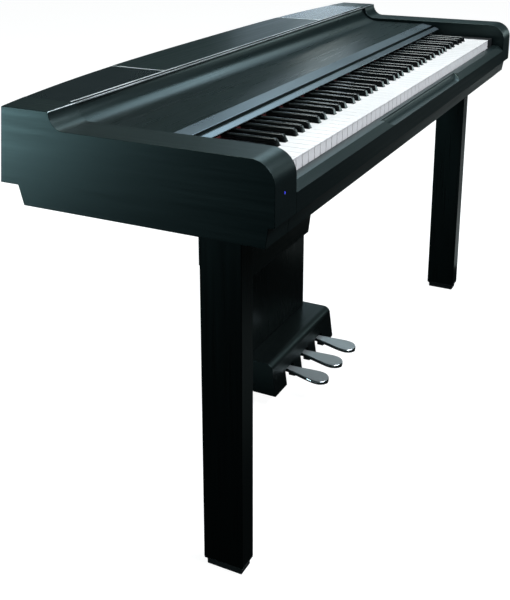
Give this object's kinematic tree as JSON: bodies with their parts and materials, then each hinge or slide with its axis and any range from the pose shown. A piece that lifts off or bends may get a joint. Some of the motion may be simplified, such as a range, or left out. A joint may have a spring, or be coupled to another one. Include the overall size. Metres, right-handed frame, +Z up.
{
  "type": "digital piano on stand",
  "caption": "Full-size digital piano in a dark slab case with a sliding key cover, on two post legs with a hanging pedal unit of working pedals.",
  "frame": {"origin": "on the floor under the middle of the object's bounding box", "axes": "+X to the player's right (treble), +Y away from the player towards the rear, +Z up"},
  "size_m": [1.452, 0.5224, 0.7647],
  "materials": {
    "case_laminate": "satin charcoal wood-grain foil on board",
    "top_laminate": "satin charcoal-black wood-grain foil on board",
    "stand_black": "satin black foil on board",
    "grille_mesh": "fine perforated dark grey sheet",
    "trim_silver": "satin silver",
    "cover_black": "satin charcoal",
    "ivory_plastic": "white, smooth",
    "ebony_plastic": "black, smooth",
    "red_felt": "pressed felt",
    "plain_steel": "zinc plated",
    "pedal_chrome": "satin chrome plate",
    "circuit_board": "solder-mask green",
    "speaker_paper": "doped paper cone in a steel basket",
    "black_plastic": "fine matt texture",
    "led_lens": "clear blue-violet lens",
    "black_rubber": "matt"
  },
  "bodies": {
    "case": {"base_board": "stand_black", "column_head": "stand_black", "cover_tray": "plain_steel", "deck_panel": "top_laminate", "felt_rail": "plain_steel", "felt_strip": "red_felt", "jack_panel": "black_plastic", "key_frame": "plain_steel", "key_pivot_rod": "plain_steel", "key_slip": "case_laminate", "left_cheek": "case_laminate", "left_divider": "trim_silver", "left_end_block": "black_plastic", "left_foot": "black_rubber", "left_leg": "stand_black", "left_screw_foot": "black_rubber", "left_speaker": "speaker_paper", "left_speaker_grille": "grille_mesh", "main_board": "circuit_board", "mains_inlet": "black_plastic", "pedal_box": "stand_black", "pedal_column": "stand_black", "pedal_floor_plate": "plain_steel", "pedal_rod": "plain_steel", "power_led": "led_lens", "power_supply": "plain_steel", "rear_panel": "case_laminate", "rest_channel_rail": "trim_silver", "right_cheek": "case_laminate", "right_divider": "trim_silver", "right_end_block": "black_plastic", "right_foot": "black_rubber", "right_leg": "stand_black", "right_screw_foot": "black_rubber", "right_speaker": "speaker_paper", "right_speaker_grille": "grille_mesh", "speaker_board": "stand_black", "top_panel": "top_laminate"},
    "key_c4": {"key_c4": "ivory_plastic"},
    "key_d4": {"key_d4": "ivory_plastic"},
    "key_e4": {"key_e4": "ivory_plastic"},
    "key_f4": {"key_f4": "ivory_plastic"},
    "key_g4": {"key_g4": "ivory_plastic"},
    "key_a4": {"key_a4": "ivory_plastic"},
    "key_b4": {"key_b4": "ivory_plastic"},
    "key_c_sharp4": {"key_c_sharp4": "ebony_plastic"},
    "key_d_sharp4": {"key_d_sharp4": "ebony_plastic"},
    "key_f_sharp4": {"key_f_sharp4": "ebony_plastic"},
    "key_g_sharp4": {"key_g_sharp4": "ebony_plastic"},
    "key_a_sharp4": {"key_a_sharp4": "ebony_plastic"},
    "white_keys_low": {"white_keys_low": "ivory_plastic"},
    "black_keys_low": {"black_keys_low": "ebony_plastic"},
    "white_keys_high": {"white_keys_high": "ivory_plastic"},
    "black_keys_high": {"black_keys_high": "ebony_plastic"},
    "key_cover": {"key_cover": "cover_black"},
    "power_button": {"power_button": "black_plastic"},
    "volume_slider": {"volume_slider": "black_plastic"},
    "left_pedal": {"left_pedal": "pedal_chrome"},
    "centre_pedal": {"centre_pedal": "pedal_chrome"},
    "right_pedal": {"right_pedal": "pedal_chrome"}
  },
  "joints": [
    {"name": "key_c4_press", "type": "hinge", "parent": "case", "child": "key_c4", "pos_m": [-0.05875, 0.00375, 0.679], "axis": [1, 0, 0], "range_deg": [0, 2.4], "stiffness_Nm_per_rad": 0.7, "springref_deg": -24.06},
    {"name": "key_d4_press", "type": "hinge", "parent": "case", "child": "key_d4", "pos_m": [-0.03525, 0.00375, 0.679], "axis": [1, 0, 0], "range_deg": [0, 2.4], "stiffness_Nm_per_rad": 0.7, "springref_deg": -24.06},
    {"name": "key_e4_press", "type": "hinge", "parent": "case", "child": "key_e4", "pos_m": [-0.01175, 0.00375, 0.679], "axis": [1, 0, 0], "range_deg": [0, 2.4], "stiffness_Nm_per_rad": 0.7, "springref_deg": -24.06},
    {"name": "key_f4_press", "type": "hinge", "parent": "case", "child": "key_f4", "pos_m": [0.01175, 0.00375, 0.679], "axis": [1, 0, 0], "range_deg": [0, 2.4], "stiffness_Nm_per_rad": 0.7, "springref_deg": -24.06},
    {"name": "key_g4_press", "type": "hinge", "parent": "case", "child": "key_g4", "pos_m": [0.03525, 0.00375, 0.679], "axis": [1, 0, 0], "range_deg": [0, 2.4], "stiffness_Nm_per_rad": 0.7, "springref_deg": -24.06},
    {"name": "key_a4_press", "type": "hinge", "parent": "case", "child": "key_a4", "pos_m": [0.05875, 0.00375, 0.679], "axis": [1, 0, 0], "range_deg": [0, 2.4], "stiffness_Nm_per_rad": 0.7, "springref_deg": -24.06},
    {"name": "key_b4_press", "type": "hinge", "parent": "case", "child": "key_b4", "pos_m": [0.08225, 0.00375, 0.679], "axis": [1, 0, 0], "range_deg": [0, 2.4], "stiffness_Nm_per_rad": 0.7, "springref_deg": -24.06},
    {"name": "key_c_sharp4_press", "type": "hinge", "parent": "case", "child": "key_c_sharp4", "pos_m": [-0.04935, 0.00375, 0.679], "axis": [1, 0, 0], "range_deg": [0, 2.4], "stiffness_Nm_per_rad": 0.35, "springref_deg": -24.06},
    {"name": "key_d_sharp4_press", "type": "hinge", "parent": "case", "child": "key_d_sharp4", "pos_m": [-0.02115, 0.00375, 0.679], "axis": [1, 0, 0], "range_deg": [0, 2.4], "stiffness_Nm_per_rad": 0.35, "springref_deg": -24.06},
    {"name": "key_f_sharp4_press", "type": "hinge", "parent": "case", "child": "key_f_sharp4", "pos_m": [0.02014, 0.00375, 0.679], "axis": [1, 0, 0], "range_deg": [0, 2.4], "stiffness_Nm_per_rad": 0.35, "springref_deg": -24.06},
    {"name": "key_g_sharp4_press", "type": "hinge", "parent": "case", "child": "key_g_sharp4", "pos_m": [0.047, 0.00375, 0.679], "axis": [1, 0, 0], "range_deg": [0, 2.4], "stiffness_Nm_per_rad": 0.35, "springref_deg": -24.06},
    {"name": "key_a_sharp4_press", "type": "hinge", "parent": "case", "child": "key_a_sharp4", "pos_m": [0.07386, 0.00375, 0.679], "axis": [1, 0, 0], "range_deg": [0, 2.4], "stiffness_Nm_per_rad": 0.35, "springref_deg": -24.06},
    {"name": "white_keys_low_press", "type": "hinge", "parent": "case", "child": "white_keys_low", "pos_m": [-0.34075, 0.00375, 0.679], "axis": [1, 0, 0], "range_deg": [0, 2.4], "stiffness_Nm_per_rad": 16.1, "springref_deg": -24.06},
    {"name": "black_keys_low_press", "type": "hinge", "parent": "case", "child": "black_keys_low", "pos_m": [-0.34075, 0.00375, 0.679], "axis": [1, 0, 0], "range_deg": [0, 2.4], "stiffness_Nm_per_rad": 5.6, "springref_deg": -24.06},
    {"name": "white_keys_high_press", "type": "hinge", "parent": "case", "child": "white_keys_high", "pos_m": [0.3525, 0.00375, 0.679], "axis": [1, 0, 0], "range_deg": [0, 2.4], "stiffness_Nm_per_rad": 15.4, "springref_deg": -24.06},
    {"name": "black_keys_high_press", "type": "hinge", "parent": "case", "child": "black_keys_high", "pos_m": [0.3525, 0.00375, 0.679], "axis": [1, 0, 0], "range_deg": [0, 2.4], "stiffness_Nm_per_rad": 5.25, "springref_deg": -24.06},
    {"name": "key_cover_slide", "type": "slide", "parent": "case", "child": "key_cover", "axis": [0, -1, 0], "range_m": [0, 0.145]},
    {"name": "power_button_press", "type": "slide", "parent": "case", "child": "power_button", "axis": [0, 0, -1], "range_m": [0, 0.0018], "stiffness_N_per_m": 300, "springref_m": -0.002},
    {"name": "volume_slider_move", "type": "slide", "parent": "case", "child": "volume_slider", "axis": [0, 1, 0], "range_m": [-0.0095, 0.0295]},
    {"name": "left_pedal_press", "type": "hinge", "parent": "case", "child": "left_pedal", "pos_m": [-0.0825, 0.05675, 0.0472], "axis": [1, 0, 0], "range_deg": [0, 4.5], "stiffness_Nm_per_rad": 4, "springref_deg": -13.75},
    {"name": "centre_pedal_press", "type": "hinge", "parent": "case", "child": "centre_pedal", "pos_m": [0, 0.05675, 0.0472], "axis": [1, 0, 0], "range_deg": [0, 4.5], "stiffness_Nm_per_rad": 4, "springref_deg": -13.75},
    {"name": "right_pedal_press", "type": "hinge", "parent": "case", "child": "right_pedal", "pos_m": [0.0825, 0.05675, 0.0472], "axis": [1, 0, 0], "range_deg": [0, 4.5], "stiffness_Nm_per_rad": 4, "springref_deg": -13.75}
  ]
}
